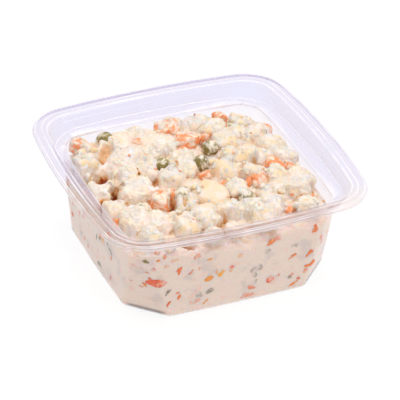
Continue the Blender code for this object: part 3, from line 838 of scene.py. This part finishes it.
def makeMass(core, bits):
    coat = joinBits("coat", bits, grow=coatShare)
    pick(core)
    coat.select_set(True)
    bpy.ops.object.join()
    addModifier(core, "oneSkin", "REMESH", mode="VOXEL", voxel_size=heapForm["voxel"])
    applyAll(core)
    points, mask = heapMask(core.data)
    points[:, 2] -= gapDepth(points)[0] * mask
    core.data.vertices.foreach_set("co", points.ravel())
    addGroup(core, "heapTop", mask)
    addModifier(core, "soften", "SMOOTH", factor=0.5, iterations=3, vertex_group="heapTop")
    for number, (noiseType, size, height) in enumerate(relief):
        texture = bpy.data.textures.new("relief%d" % number, "CLOUDS")
        setAll(texture, noise_type=noiseType, noise_scale=size, noise_depth=2)
        addModifier(core, texture.name, "DISPLACE", texture=texture, texture_coords="LOCAL",
                    strength=height, mid_level=0.5, vertex_group="heapTop")
    applyAll(core)
    count = countTriangles(core)
    print("mass triangles before thinning", count)
    if count > heapForm["mostTriangles"]:
        # The pressed sides and the base are smooth, so they give up their faces first
        addGroup(core, "plain", 1.0 - heapMask(core.data)[1])
        addModifier(core, "thin", "DECIMATE", ratio=heapForm["mostTriangles"] / count,
                    vertex_group="plain")
        applyAll(core)
    bpy.ops.object.shade_smooth()
    core.vertex_groups.clear()
    return core


nookForm = {"rays": 12, "reach": 7 * mm, "start": 0.25 * mm}
blushReach = 4 * mm
heelForm = {"heights": (1.8 * mm, 4.2 * mm), "across": (9 * mm, 15 * mm), "outward": (72 * mm, 76 * mm)}


def measureNooks(piece):
    # How shut in each point of the heap is: the share of short rays that meet the salad; the dressing
    # paints shade from it
    rays, reach = nookForm["rays"], nookForm["reach"]
    points, mask = heapMask(piece.data)
    normals = readVectors(piece.data, "normal")
    tree = BVHTree.FromObject(piece, bpy.context.evaluated_depsgraph_get())
    spread = []
    for step in range(rays):
        lift = math.sqrt((step + 0.5) / rays)
        turn = step * math.pi * (3 - math.sqrt(5))
        spread.append(Vector((lift * math.cos(turn), lift * math.sin(turn), math.sqrt(1 - lift * lift))))
    nookShades = np.zeros(len(points))
    for index in np.nonzero(mask > 0.02)[0]:
        normal = Vector(normals[index])
        start = Vector(points[index]) + normal * nookForm["start"]
        frameTurn = normal.to_track_quat("Z", "Y")
        hits = 0.0
        for ray in spread:
            found = tree.ray_cast(start, frameTurn @ ray, reach)
            if found[0] is not None:
                hits += 1.0 - found[3] / reach
        nookShades[index] = hits / rays
    return nookShades


def addMarks(piece, bits):
    # Marks that the finish reads: painted shade in shut-in nooks and gaps, carrot nearby, pressed against
    # the wall
    points, mask = heapMask(piece.data)
    nookShades = np.maximum(measureNooks(piece), gapDepth(points)[1] * mask)
    blush = np.zeros(len(points))
    for bit in bits:
        if bit["kind"] == "carrot":
            away = np.linalg.norm(points - bit["centre"], axis=1) - bit["edge"] * 0.5
            blush = np.maximum(blush, 1.0 - smoothStep(away, 0.0, blushReach))
    # The facets' heels stay in the dark between the salad and the plastic
    x, y = np.abs(points[:, 0]), np.abs(points[:, 1])
    heel = (1.0 - smoothStep(points[:, 2], *heelForm["heights"])) * smoothStep(x + y, *heelForm["outward"])
    heel *= 1.0 - smoothStep(np.abs(x - y), *heelForm["across"])
    for name, values in (("nookShade", nookShades), ("blush", blush), ("pressed", 1.0 - mask), ("heel", heel)):
        addPointMark(piece, name, values)
    print("nookShades", np.percentile(nookShades[mask > 0.5], [5, 50, 90, 97, 99]).round(2))


# Bits that the wall presses flat, seen through the plastic

frontFlecks = (  # along the wall, height, length, width, tilt in degrees, gold share, veiled share
    (-27.5, 25, 4.6, 2.2, 62, 0.25, 0.05), (-22.2, 22.4, 2.8, 1.1, 55, 0.1, 0.15),
    (-18.5, 23.3, 1.8, 1, 60, 0.6, 0.45), (-14, 27, 2.6, 1.6, 15, 0.9, 0.3),
    (-19.6, 29.9, 3, 2, 10, 0.3, 0.7), (-8.3, 18.5, 3.2, 3, 50, 1, 0.1),
    (-10.4, 20, 2.2, 1.1, 80, 0.5, 0.4), (-4.1, 20.8, 2.6, 2.2, 0, 0, 0.45),
    (-3.6, 18.8, 1.6, 1, 0, 0.9, 0.3), (-13.8, 17.3, 5.2, 2.4, 4, 0.7, 0),
    (0.2, 25.8, 2.2, 1.6, 0, 1, 0.4), (14.3, 28.9, 4.4, 2.2, 22, 0.45, 0.1),
    (17.6, 30, 3, 1.8, 20, 0.1, 0.7), (25.1, 18.8, 4, 1.6, 28, 0.35, 0),
    (33.4, 18.7, 4.8, 1.9, 40, 0.3, 0), (33.7, 12.5, 4.8, 1.9, 14, 0.3, 0),
    (31.6, 9.6, 2.4, 1.8, 50, 0.3, 0.5), (35.1, 29.4, 5, 2.4, 65, 0.3, 0.15),
    (34.9, 33.3, 2.8, 1.6, 80, 0.3, 0.1), (38.8, 24.6, 2.2, 1.6, 70, 0.2, 0.5),
    (40.4, 21.9, 3.6, 2.6, 70, 0, 0.3), (28.6, 6.7, 1.8, 1.5, 0, 0, 0), (24.9, 9.4, 2.2, 1.4, 10, 0, 0.5),
    (26.3, 4.4, 4.4, 1.2, 28, 0.5, 0.1), (15, 9.5, 3.6, 3, 30, 0, 0.45), (18.4, 10.6, 2, 1, 30, 0, 0.6),
    (6, 7.6, 3.8, 2, 0, 0.1, 0.45), (3.8, 3.8, 6, 2.4, 8, 0.1, 0.6), (-15.6, 5.2, 3.6, 1.1, 35, 0.8, 0.1),
    (-20.5, 6.7, 4.4, 2.6, 10, 0.1, 0.7), (-27.5, 11.3, 4.4, 1.6, 75, 0.4, 0.15),
    (-28.5, 13, 2.6, 1, 20, 0.3, 0.2), (-38.9, 19.9, 6.6, 4.4, -8, 0, 0),
    (-35.2, 19.6, 4.4, 3.6, 20, 0, 0.45), (-41.4, 17, 2.6, 1.8, -50, 0.5, 0.1),
    (-37.2, 31.8, 2, 1.2, 0, 0.5, 0.3), (-30.1, 30.1, 4.4, 1.1, 2, 0.8, 0.45),
    (-34.4, 32.9, 2.4, 2, 0, 0.2, 0.7), (-33.3, 28.2, 2, 2, 0, 0.6, 0.7),
    (-39.2, 27.2, 1.8, 1.4, 0, 0, 0.65), (-41.4, 24.6, 2, 0.9, 5, 0.2, 0.5),
    (-46, 17.5, 2, 0.9, 0, 0.2, 0.5), (-42.3, 15.5, 2.4, 1, 0, 0.4, 0.5),
    (-32.4, 7.9, 3, 1.4, 75, 0.1, 0.35),
)
leftFlecks = (
    (-13.6, 19.7, 4, 2, 70, 0, 0.3), (-19.4, 17.3, 3.5, 2, 60, 0, 0.6), (-29.5, 11.1, 4, 3, 60, 0, 0.3),
    (-13.2, 8.3, 3.5, 2.5, 60, 0.1, 0.6), (-9, 6.7, 3, 2, 50, 0.4, 0.5), (18.4, 7, 4, 1.2, 80, 0, 0.4),
    (-24, 22, 3.5, 1.6, 65, 0.1, 0.4), (4, 12, 3, 1.4, 75, 0.2, 0.6),
)
frontPeas = (
    (-41.2, 30.6, 3.4, 2.4, 0, 0.9, 0.15), (-32.7, 14.5, 4.2, 1.4, 60, 0, 0.3),
    (-13.6, 10.5, 3.6, 2.2, 10, 0, 0.45), (-18.3, 9.5, 3, 2.4, 30, 0, 0.7), (8.4, 15.9, 6, 4, 40, 0, 0.8),
    (25.8, 24.4, 3.8, 1.8, 0, 0, 0.65), (12.8, 24.4, 3.4, 3, 0, 0, 0.85), (24.3, 8.3, 2, 1.4, 0, 0, 0.6),
    (8, 10, 2.2, 1.2, 60, 0, 0.7),
)
leftPeas = (
    (2.8, 19.3, 3.6, 1, 80, 0, 0.2), (4.9, 5.3, 4, 3, 20, 0, 0.4), (-17.4, 8.5, 3, 2, 0, 0, 0.6),
    (15.8, 22.7, 3, 1, 85, 0, 0.5),
)
fleckForm = {  # lengths, heights and places along a wall are in mm
    "thickness": 1.2 * mm, "proud": 0.12 * mm, "square": 3.2, "full": 1.15,
    "dents": 0.5, "dentSize": 2.2, "apart": (7.3, 3.1, 0.0), "steepest": 0.6,
    "seed": 31, "perWall": (("carrot", 24), ("pea", 6)),
    "length": (1.6, 5.0), "width": (0.35, 0.8), "veil": (0.1, 0.8),
    "along": (-43, 43), "leftAlong": (-43, 20), "heights": (3.5, 29.0), "leftHeights": (17.0, 29.0),
}


def wallFlecks():
    # The front wall follows its lists. The left one does too, with drawn bits where they have none,
    # and the right and back walls have drawn bits only
    form = fleckForm
    jobs = []
    for turn, kind, flecks in ((0, "carrot", frontFlecks), (0, "pea", frontPeas),
                               (-90, "carrot", leftFlecks), (-90, "pea", leftPeas)):
        jobs += [(turn, kind, fleck) for fleck in flecks]
    draw = random.Random(form["seed"])
    for turn in (-90, 90, 180):
        along = form["leftAlong"] if turn == -90 else form["along"]
        heights = form["leftHeights"] if turn == -90 else form["heights"]
        for kind, count in form["perWall"]:
            for _ in range(count // 2 if turn == -90 else count):
                length = draw.uniform(*form["length"])
                jobs.append((turn, kind, (
                    draw.uniform(*along), draw.uniform(*heights), length,
                    length * draw.uniform(*form["width"]), draw.uniform(-90, 90), draw.random(),
                    draw.uniform(*form["veil"]))))
    return jobs


def pressFlecks(mass, masters):
    form = fleckForm
    tree = BVHTree.FromObject(mass, bpy.context.evaluated_depsgraph_get())
    points, faces = masters["smallDice"]
    rounded = roundOff(points, form["square"]) / 2
    pressed = {"carrot": [], "pea": []}
    for index, (turn, kind, fleck) in enumerate(wallFlecks()):
        along, height, length, width, tilt, gold, veil = fleck
        around = Matrix.Rotation(math.radians(turn), 3, "Z")
        start = around @ Vector((along * mm, -tubForm["rimWidth"], height * mm))
        spot, normal = tree.ray_cast(start, around @ Vector((0, 1, 0)))[:2]
        if spot is None or abs(normal.z) > form["steepest"]:
            continue
        level = Vector((0, 0, 1)).cross(normal).normalized()
        axes = Matrix((level, normal.cross(level), normal)).transposed()
        axes = axes @ Matrix.Rotation(math.radians(tilt), 3, "Z")
        mark = Vector(form["apart"]) * index
        dents = np.array([1 + form["dents"] * noise.noise(Vector(p) * form["dentSize"] + mark)
                          for p in rounded])
        size = np.array((length * mm * form["full"], width * mm * form["full"], form["thickness"]))
        pressed[kind].append({"points": rounded * dents[:, None] * size @ np.array(axes).T,
                              "faces": faces, "gold": gold, "veil": veil,
                              "centre": np.array(spot - normal * (form["thickness"] / 2 - form["proud"]))})
    for kind, look in (("carrot", pressedCarrotLook), ("pea", pressedPeaLook)):
        piece = joinBits(look["piece"], pressed[kind])
        for markName in ("gold", "veil"):
            markBits(piece, markName, [bit[markName] for bit in pressed[kind]], pressed[kind])
        finishPiece(piece, makeBitFinish(look), "salad")


# Finishes of the salad: noise scales are per metre, and "through" is how much light goes in

def setFlesh(tree, shader, look, colour):
    setInputs(tree, shader, {
        "Base Color": colour, "Roughness": look["roughness"], "Subsurface Weight": look["through"],
        "Subsurface Radius": look["throughColour"], "Subsurface Scale": look["throughReach"],
    })


def setRelief(tree, shader, look, first, second):
    bumps = addMath(tree, "ADD", first, second)
    setInputs(tree, shader, {"Normal": addBump(tree, bumps, look["relief"], look["reliefDepth"])})


dressingLook = {
    "cream": (0.97, 0.805, 0.71), "warm": (0.97, 0.75, 0.57), "white": (0.97, 0.88, 0.83),
    "blush": (0.97, 0.64, 0.48),
    "nookShades": (  # how shut in, from and to, the share and the colour of the painted shade
        (0.12, 0.40, 0.8, (0.95, 0.70, 0.47)), (0.26, 0.52, 1.0, (0.80, 0.41, 0.13)),
        (0.46, 0.66, 1.0, (0.42, 0.08, 0.01)),
    ),
    "wallCream": (0.885, 0.745, 0.625), "wallGrey": (0.75, 0.65, 0.57), "wallPink": (0.91, 0.65, 0.53),
    "heelShade": (0.26, 0.21, 0.18), "broad": 110.0, "patches": 240.0, "smears": 95.0, "clouds": 150.0,
    "curdle": 650.0, "fine": 1800.0, "relief": 0.6, "reliefDepth": 0.6 * mm,
    "through": 0.75, "throughColour": (1.0, 0.62, 0.38), "throughReach": 3.2 * mm, "roughness": 0.42,
}


def makeDressing(look):
    material, tree, shader, spot = newFinish("mayonnaiseDressing")
    broad = addNoise(tree, spot, look["broad"])
    patches = addNoise(tree, spot, look["patches"])
    top = addBlend(tree, addRange(tree, broad, 0.40, 0.62), look["cream"], look["warm"])
    top = addBlend(tree, addRange(tree, patches, 0.52, 0.68), top, look["white"])
    near = addRange(tree, addMark(tree, "blush"), 0.1, 1.0, 0.0, 0.55)
    near = addMath(tree, "MULTIPLY", near, addRange(tree, patches, 0.30, 0.60))
    top = addBlend(tree, near, top, look["blush"])
    # Painted shade: shut-in nooks and the gaps between the lumps go tan, orange and deep brown
    shut = addMark(tree, "nookShade")
    for low, high, share, colour in look["nookShades"]:
        top = addBlend(tree, addRange(tree, shut, low, high, 0.0, share), top, colour)
    smears = addRange(tree, addNoise(tree, spot, look["smears"], 3.0), 0.53, 0.66)
    clouds = addRange(tree, addNoise(tree, spot, look["clouds"], 2.0), 0.58, 0.72)
    side = addBlend(tree, smears, look["wallCream"], look["wallGrey"])
    side = addBlend(tree, clouds, side, look["wallPink"])
    side = addBlend(tree, addMark(tree, "heel"), side, look["heelShade"])
    setFlesh(tree, shader, look, addBlend(tree, addMark(tree, "pressed"), top, side))
    setRelief(tree, shader, look, addNoise(tree, spot, look["curdle"], 3.0),
              addNoise(tree, spot, look["fine"], 2.0))
    return material


def addVeil(tree, film, low, high):
    # The dressing's thin film: patchy, and thicker where the bit's own mark says so
    patchy = addRange(tree, film, low, high, -0.75, 0.65)
    return addMath(tree, "ADD", addMark(tree, "veil"), patchy, use_clamp=True)


potatoLook = {
    "piece": "potatoDice", "kinds": ("potato", "filler", "crumble"), "finish": "cookedPotato",
    "first": (0.94, 0.74, 0.57), "second": (0.94, 0.71, 0.43), "patches": (130.0, 3.0),
    "blend": (0.40, 0.62), "film": (0.96, 0.83, 0.75), "filmNoise": (220.0, 5.0, 0.6, 0.6),
    "veil": (0.34, 0.66), "grain": (1400.0, 3.0),
    "relief": 0.6, "reliefDepth": 0.8 * mm, "through": 0.45, "throughColour": (1.0, 0.7, 0.4),
    "throughReach": 2.2 * mm, "roughness": 0.36,
}
carrotLook = {
    "piece": "carrotBits", "kinds": ("carrot", "speck"), "finish": "cookedCarrot",
    "first": (0.94, 0.32, 0.11), "second": (0.96, 0.50, 0.29), "patches": (300.0, 3.0),
    "blend": (0.42, 0.62), "film": (0.97, 0.79, 0.67), "filmNoise": (300.0, 5.0, 0.6, 0.6),
    "veil": (0.42, 0.60), "grain": (1500.0, 2.0),
    "relief": 0.6, "reliefDepth": 0.7 * mm, "through": 0.4, "throughColour": (1.0, 0.45, 0.2),
    "throughReach": 1.5 * mm, "roughness": 0.38,
}
peaLook = {
    "piece": "peas", "kinds": ("pea",), "finish": "tinnedPea",
    "first": (0.22, 0.165, 0.03), "second": (0.38, 0.30, 0.12), "patches": (260.0, 3.0),
    "blend": (0.40, 0.62), "film": (0.84, 0.76, 0.64), "filmNoise": (260.0, 5.0, 0.6, 0.6),
    "veil": (0.40, 0.64), "grain": (260.0, 3.0),
    "relief": 0.35, "reliefDepth": 0.5 * mm, "through": 0.15, "throughColour": (0.8, 1.0, 0.3),
    "throughReach": 0.8 * mm, "roughness": 0.30,
}


pressedCarrotLook = {
    "piece": "pressedCarrot", "finish": "pressedCarrotBits",
    "first": (0.84, 0.12, 0.02), "second": (0.92, 0.42, 0.05),
    "film": (0.88, 0.68, 0.55), "filmNoise": (420.0, 3.0), "veil": (0.10, 0.90),
    "through": 0.3, "throughColour": (1.0, 0.6, 0.4), "throughReach": 0.8 * mm, "roughness": 0.4,
}
pressedPeaLook = {
    **pressedCarrotLook, "piece": "pressedPeas", "finish": "pressedPeaBits",
    "first": (0.25, 0.20, 0.11), "second": (0.26, 0.20, 0.02), "film": (0.76, 0.66, 0.56),
}


def makeBitFinish(look):
    # Loose bits have patches and relief; pressed ones are flat, each with its own share of gold
    material, tree, shader, spot = newFinish(look["finish"])
    film = addNoise(tree, spot, *look["filmNoise"])
    if "patches" in look:
        share = addRange(tree, addNoise(tree, spot, *look["patches"]), *look["blend"])
        setRelief(tree, shader, look, film, addNoise(tree, spot, *look["grain"]))
    else:
        share = addMark(tree, "gold")
    colour = addBlend(tree, share, look["first"], look["second"])
    setFlesh(tree, shader, look, addBlend(tree, addVeil(tree, film, *look["veil"]), colour, look["film"]))
    return material


def makeHeap():
    masters = makeMasters()
    bits = layBits(masters)
    core = makeCore()
    tree = treeOver(core, bits)
    for kind, count, smallest, largest in scattered:
        bits += scatterBits(kind, count, smallest, largest, tree, masters)
    print("bits", len(bits))
    mass = makeMass(core, bits)
    addMarks(mass, bits)
    pressFlecks(mass, masters)
    finishPiece(mass, makeDressing(dressingLook), "salad")
    for bit in bits:
        bit["points"][:, 2] -= heapForm["buried"] * gapDepth(bit["points"] + bit["centre"])[0]
    for look in (potatoLook, carrotLook, peaLook):
        chosen = [bit for bit in bits if bit["kind"] in look["kinds"]]
        piece = joinBits(look["piece"], chosen)
        markBits(piece, "veil", [bit["cover"] for bit in chosen], chosen)
        finishPiece(piece, makeBitFinish(look), "salad")


addCamera(cameraView)
addRoom()
addLamps()
addFloor()
bpy.context.scene.view_settings.view_transform = "Standard"
bpy.context.scene.cycles.transparent_max_bounces = 24
print("stage ready")
makeTub()
print("tub ready")
makeHeap()
print("heap ready")
